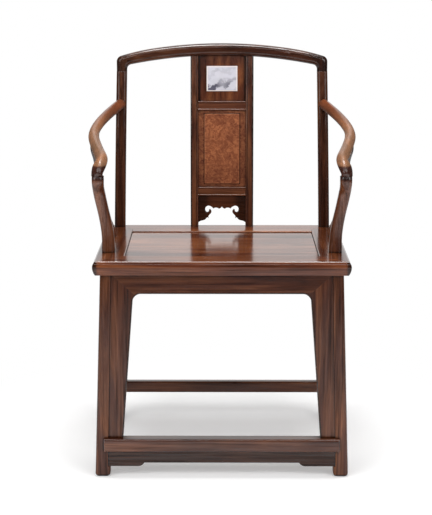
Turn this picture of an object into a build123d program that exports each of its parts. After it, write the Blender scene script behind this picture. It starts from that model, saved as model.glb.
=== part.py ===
"""Southern official's hat chair in hardwood, built as a joiner builds it.

Millimetres, +Z up, front of the chair towards -Y. While the pieces are made, y is counted backwards
from the top arris of the seat's front edge. When they are written out they are moved so that the
origin is on the floor under the middle of the chair. Right-hand pieces (+X) are modelled and
mirrored to the left.
"""
from build123d import *
import os
from math import atan2, cos, sin, sqrt

# ---------------------------------------------------------------- seat frame and panel
SEAT_HEIGHT = 506.0          # floor to the top of the seat frame
SEAT_WIDTH = 570.0           # between the side rails' top arrises
SEAT_DEPTH = 445.0           # between the front and back rails' top arrises
FRAME_THICKNESS = 32.0
RAIL_WIDTH = 64.0            # front rail and side rails, seen from above
BACK_RAIL_WIDTH = 86.0
ARRIS_ROUND = 2.5            # where the edge moulding starts, inside the arris
EDGE_BULGE = 4.3             # how far the edge moulding swells past the top arris
EDGE_BULGE_DROP = 12.0       # the fullest point is this far below the seat's top
EDGE_UNDERCUT = 1.5          # the moulding's foot stands this far inside the top arris
PANEL_THICKNESS = 13.0
PANEL_SINK = 2.4             # panel's face below the frame's
PANEL_SHADOW_GAP = 0.8       # open joint left round the panel for the wood to move
PANEL_TONGUE = 5.0           # thickness of the panel's tongue
PANEL_TONGUE_DROP = 6.0      # top of the tongue below the seat's top
PANEL_TONGUE_REACH = 6.0     # how far the tongue enters the rails
PANEL_ARRIS = 1.0            # rounding of the panel's top edges
OPENING_ARRIS = 1.8          # rounding of the rails' top edges round the panel
BATTEN_WIDTH = 30.0
BATTEN_HEIGHT = 16.0
BATTEN_SPACING = 200.0
DOVETAIL_WIDTH = 16.0        # root of the battens' dovetail
DOVETAIL_HEIGHT = 3.0

# ---------------------------------------------------------------- legs and posts
LEG_TOP = 30.0               # side of a leg under the seat
LEG_FOOT = 34.6              # side of a leg at the floor
LEG_ROUND = 9.0              # rounding of the legs' long edges
FOOT_ROUND = 7.0             # rounding round the bottom of a foot
LEG_SETBACK = 11.0           # legs' outer faces inside the seat's arris
SIDE_SPLAY = 17.0            # outward lean of a leg's outer face, from seat to floor
END_SPLAY = 9.0              # the same lean forwards or backwards
POST_SECTION = 27.0          # rear post where it leaves the seat
POST_TOP_SECTION = 25.6
POST_ROUND = 8.0
NECK_SECTION = 17.0          # thinner stretch of the rear post inside the seat frame
NECK_ROUND = 4.0
POST_SETBACK = 4.0           # post's back face inside the seat's back arris
POST_INSET = 5.5             # post's outer face inside the leg's, just under the seat
POST_LEAN_IN = 7.4           # the posts draw together between the seat and the crest rail
POST_RAKE = 32.0             # backward sweep of the posts up to the crest rail

# ---------------------------------------------------------------- crest rail
CREST_RISE = 452.5           # top of the crest rail above the seat, at its middle
CREST_JOINT_DROP = 67.5      # where its turned-down ends meet the posts, below that top
CREST_THICKNESS = 30.0       # its height at the middle
CREST_DEPTH = 27.0
CREST_BOW = 12.0             # backward bow between its ends
CREST_MID_REACH = 170.0      # half-length of the flatter middle arc
CREST_MID_DROP = 12.4        # fall of the top over that arc
CREST_END_DROP = 33.4        # fall of the top from the middle to the corner
CREST_UNDER_DROP = 23.2      # fall of the underside from the middle to the inner corner
CREST_OUTER_CORNER = 15.0
CREST_INNER_CORNER = 12.0
CREST_ROUND = 11.0           # rounding along the rail

# ---------------------------------------------------------------- splat
SPLAT_WIDTH = 156.0
STILE_WIDTH = 19.2
STILE_THICKNESS = 15.0
STILE_ROUND = 3.0
CROSS_RAIL_HEIGHT = 21.8
CROSS_RAIL_THICKNESS = 13.0
LOWER_RAIL_RISE = 89.0       # middle of the lower cross rail above the seat
UPPER_RAIL_DROP = 122.0      # middle of the upper cross rail below the crest rail
BEAD_WIDTH = 3.4             # beads that frame the boards, on the cross rails and the stiles
BEAD_STAND = 1.4
BEAD_GROOVE = 1.2            # groove that parts a stile's bead from its face
BEAD_ROUND = 1.25
BOARD_THICKNESS = 8.0        # boards let into the splat
BOARD_RECESS = 5.0           # board faces behind the stiles' faces
BOARD_TONGUE = 4.0
FIELD_WIDTH = 87.0           # raised field of the burl panel
FIELD_MARGIN = 8.5           # field's top and bottom inside the rails
FIELD_RISE = 2.8
FIELD_ROUND = 0.9
STONE_WIDTH = 76.0
STONE_HEIGHT = 62.0
STONE_DROP = 55.9            # middle of the stone below the crest rail
STONE_THICKNESS = 5.0
STONE_PROUD = 0.8
STONE_BEVEL = 1.6
STONE_BEVEL_DROP = 0.7
HOUSING = 8.0                # depth that the splat enters the crest rail
SCROLL_PEAK = 50.0           # middle of the carved board's cut-out above the seat
SCROLL_FOOT = 10.2           # where the cut-out meets the stiles

# ---------------------------------------------------------------- arms
ARM_WIDTH = 24.8             # where the arm is widest apart
ARM_HEIGHT = 23.4
ARM_REAR_WIDTH = 27.4        # arm's width at the rear post
ARM_ELBOW_WIDTH = 29.2
RIDGE_ACROSS = 0.62          # arm's upper faces pass through this share of its half-width
RIDGE_UP = 0.72              # and this share of its half-height
ARM_POST_RISE = 307.0        # arm's middle above the seat where it meets the rear post
ARM_OUT = 301.0              # arm's middle at its widest
ARM_IN = 272.0               # arm's middle at its narrowest, near the front
ELBOW_X = 280.8
ELBOW_Y = 88.0
ELBOW_RISE = 179.0           # joint of arm and gooseneck above the seat
GOOSENECK_FOOT = 29.5        # gooseneck's sides at the seat, half-way and at the elbow
GOOSENECK_MIDDLE = 25.7
GOOSENECK_HEAD = 26.4
GOOSENECK_ROUND = 9.5
GOOSENECK_X = 260.7          # foot of the gooseneck on the side rail
GOOSENECK_Y = 113.0
SIDE_POST_X = 267.8
SIDE_POST_Y = 300.0
SIDE_POST_FOOT = 21.5        # diameters of the side post
SIDE_POST_HEAD = 17.0

# ---------------------------------------------------------------- aprons and stretchers
APRON_THICKNESS = 9.0
APRON_RECESS = 4.0           # front boards' faces behind the legs' faces
SIDE_APRON_RECESS = 11.0     # the same for the side and back boards
APRON_LAP = 5.5              # how far the boards reach into the legs and the seat frame
FRONT_APRON_DROP = 45.0      # opening's top edge below the seat frame
FRONT_JAMB_TOP = 51.0        # width of a side board at the opening's top
FRONT_JAMB_FOOT = 34.0       # the same at its foot
OPENING_ROUND = 18.0
SIDE_APRON_DROP = 42.0
SIDE_JAMB_TOP = 40.0
SIDE_JAMB_FOOT = 28.0
BACK_APRON_DROP = 38.0
BACK_SPANDREL_TOP = 40.0
BACK_SPANDREL_FOOT = 30.0
BACK_SPANDREL_DROP = 100.0
FOOTREST_LEVEL = 93.0        # its top above the floor
FOOTREST_THICKNESS = 31.0
FOOTREST_DEPTH = 29.0
FOOTREST_PROJECTION = 8.0    # in front of the seat's arris
FOOTREST_LENGTH = 539.0
FOOTREST_ROUND = 5.0
FOOT_APRON_SETBACK = 14.0    # behind the footrest's front
FOOT_APRON_DROP = 29.0
FOOT_APRON_END_DROP = 37.5
FOOT_APRON_END = 63.5        # length of the deeper ends
FOOT_APRON_RAMP = 14.5       # length of the curve between the two depths
SIDE_STRETCHER_Z = 137.0     # middle heights
REAR_STRETCHER_Z = 87.0
STRETCHER_HEIGHT = 29.5
STRETCHER_DEPTH = 22.0
STRETCHER_ROUND = 5.0

# ---------------------------------------------------------------- joints
TENON = 10.0                 # thickness
TENON_SHOULDER = 5.0         # rail left above and below a tenon
FRAME_TENON_IN = 40.0        # seat frame's mitre tenons inside the arris
FRAME_TENON_WIDTH = 14.0
LEG_TENON = 15.0             # square tenon on top of a front leg
CROSS_TENON = 5.0            # thickness of the splat rails' tenons
CROSS_TENON_LENGTH = 13.0
TENON_LENGTH = 20.0
POST_TENON = 11.0            # square tenons on the ends of posts and arms
POST_TENON_LENGTH = 14.0
GLUE_GAP = 0.15              # clearance round tenons and tongues
SINK = 1.0                   # overlap between two shapes that are made into one

# ---------------------------------------------------------------- places worked out from these
HALF_SEAT = SEAT_WIDTH / 2
FRAME_UNDERSIDE = SEAT_HEIGHT - FRAME_THICKNESS
PANEL_HALF = HALF_SEAT - RAIL_WIDTH
PANEL_BACK = SEAT_DEPTH - BACK_RAIL_WIDTH
LEG_X = HALF_SEAT - LEG_SETBACK - LEG_TOP / 2
FRONT_LEG_Y = LEG_SETBACK + LEG_TOP / 2
POST_Y = SEAT_DEPTH - POST_SETBACK - POST_SECTION / 2
POST_X = LEG_X + LEG_TOP / 2 - POST_INSET - POST_SECTION / 2
CREST_HEIGHT = SEAT_HEIGHT + CREST_RISE
CREST_UNDERSIDE = CREST_HEIGHT - CREST_THICKNESS
CREST_JOINT_HEIGHT = CREST_HEIGHT - CREST_JOINT_DROP
LOWER_RAIL_Z = SEAT_HEIGHT + LOWER_RAIL_RISE
UPPER_RAIL_Z = CREST_UNDERSIDE - UPPER_RAIL_DROP
STONE_Z = CREST_UNDERSIDE - STONE_DROP
ARM_POST_Z = SEAT_HEIGHT + ARM_POST_RISE
ELBOW_Z = SEAT_HEIGHT + ELBOW_RISE
POST_RISE = CREST_JOINT_HEIGHT - SEAT_HEIGHT
POST_TOP_X = POST_X - POST_LEAN_IN
POST_RADIUS = (POST_RISE ** 2 + POST_RAKE ** 2) / (2 * POST_RAKE)
SPLAT_RISE = CREST_UNDERSIDE - SEAT_HEIGHT
SPLAT_RAKE = POST_RAKE + CREST_BOW
SPLAT_RADIUS = (SPLAT_RISE ** 2 + SPLAT_RAKE ** 2) / (2 * SPLAT_RAKE)
STILE_INNER = SPLAT_WIDTH / 2 - STILE_WIDTH
MIDDLE_Y = (POST_Y + SPLAT_RAKE + CREST_DEPTH / 2 - FOOTREST_PROJECTION) / 2
FAR = 400.0                  # longer than any cut needs to be
UP = Vector(0, 0, 1)
DOWN = Vector(0, 0, -1)

parts = {}


# ---------------------------------------------------------------- helpers
def block(x0, x1, y0, y1, z0, z1, grow=0.0):
    """A box between two corners, made larger all round by grow."""
    size = Box(x1 - x0 + 2 * grow, y1 - y0 + 2 * grow, z1 - z0 + 2 * grow)
    return Pos((x0 + x1) / 2, (y0 + y1) / 2, (z0 + z1) / 2) * size


def left_copy(shape):
    """The left-hand copy of a right-hand piece."""
    return mirror(shape, Plane.YZ)


def both_sides(shape):
    """A right-hand cutter or detail together with its mirror image."""
    return shape + left_copy(shape)


def add_pair(name, shape):
    """Keep a right-hand piece and its mirror image as two nodes."""
    parts[name + "_right"] = shape
    parts[name + "_left"] = left_copy(shape)


def leg_fall(z):
    """Share of the way from the seat frame down to the floor."""
    return (FRAME_UNDERSIDE - z) / FRAME_UNDERSIDE


def leg_side(z):
    """Side of a leg's square section at height z."""
    return LEG_TOP + (LEG_FOOT - LEG_TOP) * leg_fall(z)


def leg_centre(end, z):
    """Middle of the right-hand leg at height z; end is -1 for the front and 1 for the rear."""
    growth = (LEG_FOOT - LEG_TOP) / 2
    top_y = FRONT_LEG_Y if end < 0 else POST_Y
    x = LEG_X + (SIDE_SPLAY - growth) * leg_fall(z)
    y = top_y + end * (END_SPLAY - growth) * leg_fall(z)
    return x, y


def leg_body(end):
    """The splayed stretch of a right-hand leg, from the floor to the seat frame."""
    sections = []
    for z in (0, FRAME_UNDERSIDE):
        x, y = leg_centre(end, z)
        sections.append(Pos(x, y, z) * RectangleRounded(leg_side(z), leg_side(z), LEG_ROUND))
    leg = loft(sections, ruled=True)
    return fillet(leg.edges().group_by(Axis.Z)[0], FOOT_ROUND)


def post_centre(z):
    """Middle of the right-hand rear post at height z above the seat."""
    rise = z - SEAT_HEIGHT
    x = POST_X - POST_LEAN_IN * rise / POST_RISE
    y = POST_Y + POST_RADIUS - sqrt(POST_RADIUS ** 2 - rise ** 2)
    return x, y


def spine_y(z, offset=0.0):
    """y of the splat's curved faces at height z; offset is backwards from its middle."""
    radius = SPLAT_RADIUS - offset
    return POST_Y + SPLAT_RADIUS - sqrt(radius ** 2 - (z - SEAT_HEIGHT) ** 2)


def bent_board(x0, x1, z0, z1, front, back):
    """A board that follows the curve of the back; front and back are offsets from its middle."""
    middle = (z0 + z1) / 2
    face = ThreePointArc((spine_y(z0, front), z0), (spine_y(middle, front), middle),
                         (spine_y(z1, front), z1))
    rear = ThreePointArc((spine_y(z1, back), z1), (spine_y(middle, back), middle),
                         (spine_y(z0, back), z0))
    outline = make_face([face, Line(face @ 1, rear @ 0), rear, Line(rear @ 1, face @ 0)])
    return Pos(x0, 0, 0) * extrude(Plane.YZ * outline, x1 - x0)


def front_face(board):
    """The front one of a board's two broad faces."""
    broad = board.faces().sort_by(SortBy.AREA)[-2:]
    return broad.sort_by(Axis.Y)[0]


def limb(points, sizes, section, tangents, steps=9):
    """A curved member through points; sizes are those at its start, middle and end."""
    path = Spline(*points, tangents=tangents)
    sections = []
    for step in range(steps):
        at = step / (steps - 1)
        along = path % at
        across = Vector(1, 0, 0) - along * along.dot(Vector(1, 0, 0))
        frame = Plane(origin=path @ at, x_dir=across, z_dir=along)
        nearer_end = sizes[2] if at > 0.5 else sizes[0]
        size = sizes[1] + (nearer_end - sizes[1]) * abs(2 * at - 1)
        sections.append(frame * section(size))
    return loft(sections)


# ---------------------------------------------------------------- seat frame
def moulded_outline():
    """Section of a seat rail: x outwards from the arris, y up from the seat's top."""
    bulge = (EDGE_BULGE, -EDGE_BULGE_DROP)
    start = (-ARRIS_ROUND, 0)
    foot = (-EDGE_UNDERCUT, -FRAME_THICKNESS)
    upper = TangentArc(bulge, start, tangent=(0, 1))
    lower = TangentArc(bulge, foot, tangent=(0, -1))
    body = Polyline(start, (-BACK_RAIL_WIDTH, 0), (-BACK_RAIL_WIDTH, -FRAME_THICKNESS), foot)
    return make_face([upper, lower, body])


def moulded_bar(plane, length):
    """A seat rail before its mitres are cut, centred on the plane."""
    return extrude(plane * moulded_outline(), length / 2, both=True)


def plan_prism(corners):
    """A tall prism over a polygon, to trim a rail in plan."""
    return extrude(make_face(Polyline(*corners, close=True)), SEAT_HEIGHT + FAR)


def soften_opening(rail):
    """Round the rail's top edge beside the panel."""
    middle = (0, (RAIL_WIDTH + PANEL_BACK) / 2, SEAT_HEIGHT)
    level = rail.edges().filter_by(lambda edge: edge.center().Z > SEAT_HEIGHT - 0.01)
    return fillet(level.sort_by_distance(middle)[0], OPENING_ARRIS)


def seat_frame():
    """Front, back and right rails with their mitres, tenons and panel groove."""
    out = 2 * EDGE_BULGE
    mitre = [(HALF_SEAT + out, -out), (PANEL_HALF, RAIL_WIDTH)]
    back_mitre = [(HALF_SEAT + out, SEAT_DEPTH + out), (PANEL_HALF, SEAT_DEPTH - RAIL_WIDTH)]
    front_plane = Plane(origin=(0, 0, SEAT_HEIGHT), x_dir=(0, -1, 0), z_dir=(-1, 0, 0))
    back_plane = Plane(origin=(0, SEAT_DEPTH, SEAT_HEIGHT), x_dir=(0, 1, 0), z_dir=(1, 0, 0))
    side_plane = Plane(origin=(HALF_SEAT, SEAT_DEPTH / 2, SEAT_HEIGHT), x_dir=(1, 0, 0),
                       z_dir=(0, -1, 0))
    flip = [(-x, y) for x, y in reversed(mitre)]
    back_flip = [(-x, y) for x, y in reversed(back_mitre)]
    back_edge = [(PANEL_HALF, PANEL_BACK), (-PANEL_HALF, PANEL_BACK)]
    front = moulded_bar(front_plane, SEAT_WIDTH + FAR) & plan_prism(mitre + flip)
    back = moulded_bar(back_plane, SEAT_WIDTH + FAR) & plan_prism(back_mitre + back_edge + back_flip)
    side = moulded_bar(side_plane, SEAT_DEPTH + FAR) & plan_prism(mitre[::-1] + back_mitre)
    front, back, side = [soften_opening(rail) for rail in (front, back, side)]
    groove_z = SEAT_HEIGHT - PANEL_TONGUE_DROP - PANEL_TONGUE
    reach = PANEL_TONGUE_REACH + PANEL_SHADOW_GAP
    groove = block(-PANEL_HALF - reach, PANEL_HALF + reach, RAIL_WIDTH - reach, PANEL_BACK + reach,
                   groove_z, groove_z + PANEL_TONGUE + 2 * GLUE_GAP)
    tenon_z = FRAME_UNDERSIDE + FRAME_THICKNESS / 2 - TENON / 2
    inner = FRAME_TENON_IN + FRAME_TENON_WIDTH
    front_tenon = (PANEL_HALF - TENON, HALF_SEAT - TENON, FRAME_TENON_IN, inner,
                   tenon_z, tenon_z + TENON)
    back_tenon = (PANEL_HALF - TENON, HALF_SEAT - TENON, SEAT_DEPTH - inner,
                  SEAT_DEPTH - FRAME_TENON_IN, tenon_z, tenon_z + TENON)
    front = front + both_sides(block(*front_tenon)) - groove
    back = back + both_sides(block(*back_tenon)) - groove
    side = side - block(*front_tenon, grow=GLUE_GAP) - block(*back_tenon, grow=GLUE_GAP) - groove
    return front, back, side


def seat_panel():
    """Floating panel with its tongue, and the dovetail cuts for the battens."""
    gap = PANEL_SHADOW_GAP
    reach = PANEL_TONGUE_REACH
    face = SEAT_HEIGHT - PANEL_SINK
    top = block(-PANEL_HALF + gap, PANEL_HALF - gap, RAIL_WIDTH + gap, PANEL_BACK - gap,
                face - PANEL_THICKNESS, face)
    top = fillet(top.faces().sort_by(Axis.Z)[-1].edges(), PANEL_ARRIS)
    tongue_z = SEAT_HEIGHT - PANEL_TONGUE_DROP - PANEL_TONGUE
    tongue = block(-PANEL_HALF - reach, PANEL_HALF + reach, RAIL_WIDTH - reach, PANEL_BACK + reach,
                   tongue_z, tongue_z + PANEL_TONGUE)
    return top + tongue


def seat_batten():
    """Right-hand batten: dovetailed into the panel and tenoned into the front and back rails."""
    x = BATTEN_SPACING / 2
    panel_underside = SEAT_HEIGHT - PANEL_SINK - PANEL_THICKNESS
    bar = block(x - BATTEN_WIDTH / 2, x + BATTEN_WIDTH / 2, RAIL_WIDTH, PANEL_BACK,
                panel_underside - BATTEN_HEIGHT, panel_underside)
    root = DOVETAIL_WIDTH / 2
    flare = root + DOVETAIL_HEIGHT / 2
    key = Polyline((x - root, panel_underside), (x + root, panel_underside),
                   (x + flare, panel_underside + DOVETAIL_HEIGHT),
                   (x - flare, panel_underside + DOVETAIL_HEIGHT), close=True)
    front_plane = Plane(origin=(0, RAIL_WIDTH + PANEL_TONGUE_REACH, 0), x_dir=(1, 0, 0),
                        z_dir=(0, -1, 0))
    length = PANEL_BACK - RAIL_WIDTH - 2 * PANEL_TONGUE_REACH
    dovetail = extrude(front_plane * make_face(key), -length)
    shoulder = BATTEN_HEIGHT / 6
    tenon = (x - BATTEN_WIDTH / 4, x + BATTEN_WIDTH / 4, RAIL_WIDTH - TENON, PANEL_BACK + TENON,
             panel_underside - BATTEN_HEIGHT + shoulder, panel_underside - shoulder)
    return bar + dovetail + block(*tenon), dovetail, block(*tenon, grow=GLUE_GAP)


# ---------------------------------------------------------------- stretchers and footrest
def footrest_bar():
    """Footrest before it is scribed to the legs."""
    front = -FOOTREST_PROJECTION
    bar = block(-FOOTREST_LENGTH / 2, FOOTREST_LENGTH / 2, front, front + FOOTREST_DEPTH,
                FOOTREST_LEVEL - FOOTREST_THICKNESS, FOOTREST_LEVEL)
    front_edges = bar.edges().filter_by(Axis.X).group_by(Axis.Y)[0]
    end_edges = bar.edges().filter_by(Axis.Z).group_by(Axis.Y)[0]
    return fillet(front_edges + end_edges, FOOTREST_ROUND)


def footrest_tenon():
    """Corners of the footrest's right-hand tenon, in the right front leg."""
    x, y = leg_centre(-1, FOOTREST_LEVEL)
    back = FOOTREST_DEPTH - FOOTREST_PROJECTION - 2 * SINK
    inner = x - leg_side(0) / 2
    return (inner - 2 * SINK, inner + TENON_LENGTH, back - TENON, back,
            FOOTREST_LEVEL - FOOTREST_THICKNESS + TENON_SHOULDER, FOOTREST_LEVEL - TENON_SHOULDER)


def footrest_apron():
    """Board under the footrest, deeper at its two ends."""
    top = FOOTREST_LEVEL - FOOTREST_THICKNESS
    bottom = top - FOOT_APRON_DROP
    low = top - FOOT_APRON_END_DROP
    half = leg_centre(-1, bottom)[0] - leg_side(bottom) / 2 + APRON_LAP
    step = leg_centre(-1, bottom)[0] - leg_side(bottom) / 2 - FOOT_APRON_END
    ramp = step - FOOT_APRON_RAMP
    right = Polyline((0, top), (half, top), (half, low), (step, low))
    curve = TangentArc((step, low), (ramp, bottom), tangent=(-1, 0))
    close = Polyline((ramp, bottom), (0, bottom), (0, top))
    outline = make_face([right, curve, close])
    y = FOOT_APRON_SETBACK - FOOTREST_PROJECTION
    plane = Plane(origin=(0, y, 0), x_dir=(1, 0, 0), z_dir=(0, -1, 0))
    board = both_sides(extrude(plane * outline, -APRON_THICKNESS))
    return board, extrude(plane * outline, LEG_ROUND)


def rear_stretcher_bar():
    """Low stretcher between the rear legs, before its shoulders are cut."""
    x, y = leg_centre(1, REAR_STRETCHER_Z)
    bar = block(-x, x, y - STRETCHER_DEPTH / 2, y + STRETCHER_DEPTH / 2,
                REAR_STRETCHER_Z - STRETCHER_HEIGHT / 2, REAR_STRETCHER_Z + STRETCHER_HEIGHT / 2)
    return fillet(bar.edges().filter_by(Axis.X), STRETCHER_ROUND)


def rear_stretcher_tenon():
    """Corners of the rear stretcher's right-hand tenon."""
    x, y = leg_centre(1, REAR_STRETCHER_Z)
    inner = x - leg_side(REAR_STRETCHER_Z) / 2
    height = STRETCHER_HEIGHT / 2 - TENON_SHOULDER
    return (inner - 2 * SINK, inner + TENON_LENGTH, y - TENON / 2, y + TENON / 2,
            REAR_STRETCHER_Z - height, REAR_STRETCHER_Z + height)


def side_stretcher_bar():
    """Right-hand side stretcher, before its shoulders are cut."""
    x, front = leg_centre(-1, SIDE_STRETCHER_Z)
    back = leg_centre(1, SIDE_STRETCHER_Z)[1]
    bar = block(x - STRETCHER_DEPTH / 2, x + STRETCHER_DEPTH / 2, front, back,
                SIDE_STRETCHER_Z - STRETCHER_HEIGHT / 2, SIDE_STRETCHER_Z + STRETCHER_HEIGHT / 2)
    return fillet(bar.edges().filter_by(Axis.Y), STRETCHER_ROUND)


def side_stretcher_tenons():
    """Corners of the side stretcher's front and rear tenons."""
    height = STRETCHER_HEIGHT / 2 - TENON_SHOULDER
    found = []
    for end in (-1, 1):
        x, y = leg_centre(end, SIDE_STRETCHER_Z)
        inner = y - end * leg_side(SIDE_STRETCHER_Z) / 2
        near, far = sorted((inner - end * 2 * SINK, inner + end * TENON_LENGTH))
        found.append((x - TENON / 2, x + TENON / 2, near, far,
                      SIDE_STRETCHER_Z - height, SIDE_STRETCHER_Z + height))
    return found


# ---------------------------------------------------------------- aprons
class Opening:
    """Three boards that line the opening between two legs, mitred at the top corners."""

    def __init__(self, plane, line_top, splay, drop, jamb_top, jamb_foot, foot_v):
        self.plane = plane
        self.line_top = line_top
        self.splay = splay
        self.foot_v = foot_v
        top = -drop
        corner = (self.line(top) - jamb_top, top)
        hole = Polyline(
            (-corner[0], top), corner, (self.line(foot_v) - jamb_foot, foot_v - SINK),
            (-(self.line(foot_v) - jamb_foot), foot_v - SINK), close=True)
        opening = make_face(hole)
        upper = opening.vertices().group_by(Axis.Y)[-1]
        opening = fillet(upper, OPENING_ROUND)
        sheet = make_face(Polyline(
            (-self.line(0), 0), (self.line(0), 0), (self.line(foot_v), foot_v),
            (-self.line(foot_v), foot_v), close=True))
        tongue = Rectangle(2 * (self.line(0) - 2 * APRON_LAP), 2 * APRON_LAP)
        run = self.line(0) - corner[0]
        beyond = (corner[0] - run, top - drop)
        jamb_area = make_face(Polyline(
            beyond, (self.line(0), 0), (self.line(0) + FAR, 0), (self.line(0) + FAR, foot_v - SINK),
            (beyond[0], foot_v - SINK), close=True))
        self.sheet = sheet - opening
        self.jamb_area = jamb_area
        self.tongue = tongue

    def line(self, v):
        """Distance from the middle to the edge of the boards at v below the seat frame."""
        return self.line_top - self.splay * v / FRAME_UNDERSIDE

    def solid(self, sketch, front=0.0):
        """Turn an outline in the opening's own plane into a board."""
        thick = APRON_THICKNESS + front
        return extrude(self.plane * (Pos(0, 0, front) * sketch), -thick)

    def boards(self):
        """The top board and the board on the positive side of the plane's x axis, and its twin."""
        right = self.sheet & self.jamb_area
        left = mirror(right, Plane.YZ)
        top = (self.sheet - self.jamb_area - mirror(self.jamb_area, Plane.YZ)) + self.tongue
        return self.solid(top), self.solid(right), self.solid(left)

    def housing(self, front=0.0):
        """What the boards' edges take out of the legs, opened outwards by front."""
        area = make_face(Polyline(
            (-self.line(0), 0), (self.line(0), 0), (self.line(self.foot_v), self.foot_v),
            (-self.line(self.foot_v), self.foot_v), close=True))
        return self.solid(area, front)


def front_opening():
    """Boards round the front opening, in the plane of the front legs' faces."""
    lean = atan2(END_SPLAY, FRAME_UNDERSIDE)
    plane = Plane(origin=(0, LEG_SETBACK + APRON_RECESS, FRAME_UNDERSIDE), x_dir=(1, 0, 0),
                  z_dir=(0, -cos(lean), sin(lean)))
    line = LEG_X - LEG_TOP / 2 + APRON_LAP
    splay = SIDE_SPLAY - (LEG_FOOT - LEG_TOP)
    foot_v = FOOTREST_LEVEL - SINK - FRAME_UNDERSIDE
    return Opening(plane, line, splay, FRONT_APRON_DROP, FRONT_JAMB_TOP, FRONT_JAMB_FOOT, foot_v)


def side_opening():
    """Boards round the right-hand side opening; the plane's x axis runs backwards."""
    lean = atan2(SIDE_SPLAY, FRAME_UNDERSIDE)
    middle = (FRONT_LEG_Y + POST_Y) / 2
    plane = Plane(origin=(LEG_X + LEG_TOP / 2 - SIDE_APRON_RECESS, middle, FRAME_UNDERSIDE),
                  x_dir=(0, 1, 0), z_dir=(cos(lean), 0, sin(lean)))
    line = (POST_Y - FRONT_LEG_Y) / 2 - LEG_TOP / 2 + APRON_LAP
    splay = END_SPLAY - (LEG_FOOT - LEG_TOP)
    foot_v = SIDE_STRETCHER_Z + STRETCHER_HEIGHT / 2 - SINK - FRAME_UNDERSIDE
    return Opening(plane, line, splay, SIDE_APRON_DROP, SIDE_JAMB_TOP, SIDE_JAMB_FOOT, foot_v)


def back_opening():
    """Back apron with a short spandrel beside each rear leg."""
    lean = atan2(END_SPLAY, FRAME_UNDERSIDE)
    plane = Plane(origin=(0, POST_Y + LEG_TOP / 2 - SIDE_APRON_RECESS, FRAME_UNDERSIDE),
                  x_dir=(-1, 0, 0), z_dir=(0, cos(lean), sin(lean)))
    line = LEG_X - LEG_TOP / 2 + APRON_LAP
    splay = SIDE_SPLAY - (LEG_FOOT - LEG_TOP)
    return Opening(plane, line, splay, BACK_APRON_DROP, BACK_SPANDREL_TOP, BACK_SPANDREL_FOOT,
                   -BACK_SPANDREL_DROP)


# ---------------------------------------------------------------- arms
def ridged_section(size):
    """Section of an arm: rounded below, two flatter faces meeting in a soft ridge on top."""
    half = size / 2
    rise = size * ARM_HEIGHT / ARM_WIDTH / 2
    left = ThreePointArc((-half, 0), (-half * RIDGE_ACROSS, rise * RIDGE_UP), (0, rise))
    right = ThreePointArc((0, rise), (half * RIDGE_ACROSS, rise * RIDGE_UP), (half, 0))
    under = ThreePointArc((half, 0), (0, -rise), (-half, 0))
    return make_face([left, right, under])


def arm_points():
    """Points along the middle of the right arm, from inside the rear post to the elbow."""
    post_x, post_y = post_centre(ARM_POST_Z)
    run = post_y - ELBOW_Y
    rise = ARM_POST_Z - ELBOW_Z
    shape = ((ARM_OUT - 21.5, 0.734, 0.837), (ARM_OUT - 2, 0.522, 0.667), (ARM_OUT, 0.417, 0.585),
             (ARM_OUT - 4.2, 0.325, 0.512), (ARM_OUT - 11.7, 0.233, 0.438),
             (ARM_IN + 2.5, 0.089, 0.295), (ARM_IN + 1, 0.028, 0.222), (ELBOW_X, 0.001, 0.132))
    middle = [(x, ELBOW_Y + run * back, ELBOW_Z + rise * up) for x, back, up in shape]
    return [(post_x, post_y, ARM_POST_Z)] + middle + [(ELBOW_X, ELBOW_Y, ELBOW_Z)]


def arm_limb():
    """The right arm's curved length."""
    points = arm_points()
    start = Vector(points[1]) - Vector(points[0])
    widths = (ARM_REAR_WIDTH, ARM_WIDTH, ARM_ELBOW_WIDTH)
    return limb(points, widths, ridged_section, (start, DOWN), steps=15)


def between(start, end, shares):
    """Points from start to end; shares says how far each one in between is along x, y and z."""
    path = [start]
    for share in shares:
        path.append(tuple(a + (b - a) * part for a, b, part in zip(start, end, share)))
    return path + [end]


def round_section(size):
    """Section of a gooseneck: a square with well rounded corners."""
    return RectangleRounded(size, size, GOOSENECK_ROUND)


def gooseneck_limb():
    """Right gooseneck between the side rail and the elbow."""
    foot = (GOOSENECK_X, GOOSENECK_Y, SEAT_HEIGHT)
    elbow = (ELBOW_X, ELBOW_Y, ELBOW_Z)
    points = between(foot, elbow, ((0.104, 0.02, 0.279), (0.53, 0.2, 0.547), (0.95, 0.56, 0.804)))
    sides = (GOOSENECK_FOOT, GOOSENECK_MIDDLE, GOOSENECK_HEAD)
    return limb(points, sides, round_section, (UP, UP))


def side_post_limb():
    """Right side post, bulging outwards and thinning towards the arm that it ends in."""
    foot = (SIDE_POST_X, SIDE_POST_Y, SEAT_HEIGHT)
    head = arm_points()[4]
    points = between(foot, head, ((0.345, 0.05, 0.165), (0.638, 0.22, 0.354), (0.797, 0.55, 0.589),
                                  (0.855, 0.82, 0.806)))
    diameters = (SIDE_POST_FOOT, (SIDE_POST_FOOT + SIDE_POST_HEAD) / 2, SIDE_POST_HEAD)
    return limb(points, diameters, lambda size: Circle(size / 2), (UP, UP))


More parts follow.
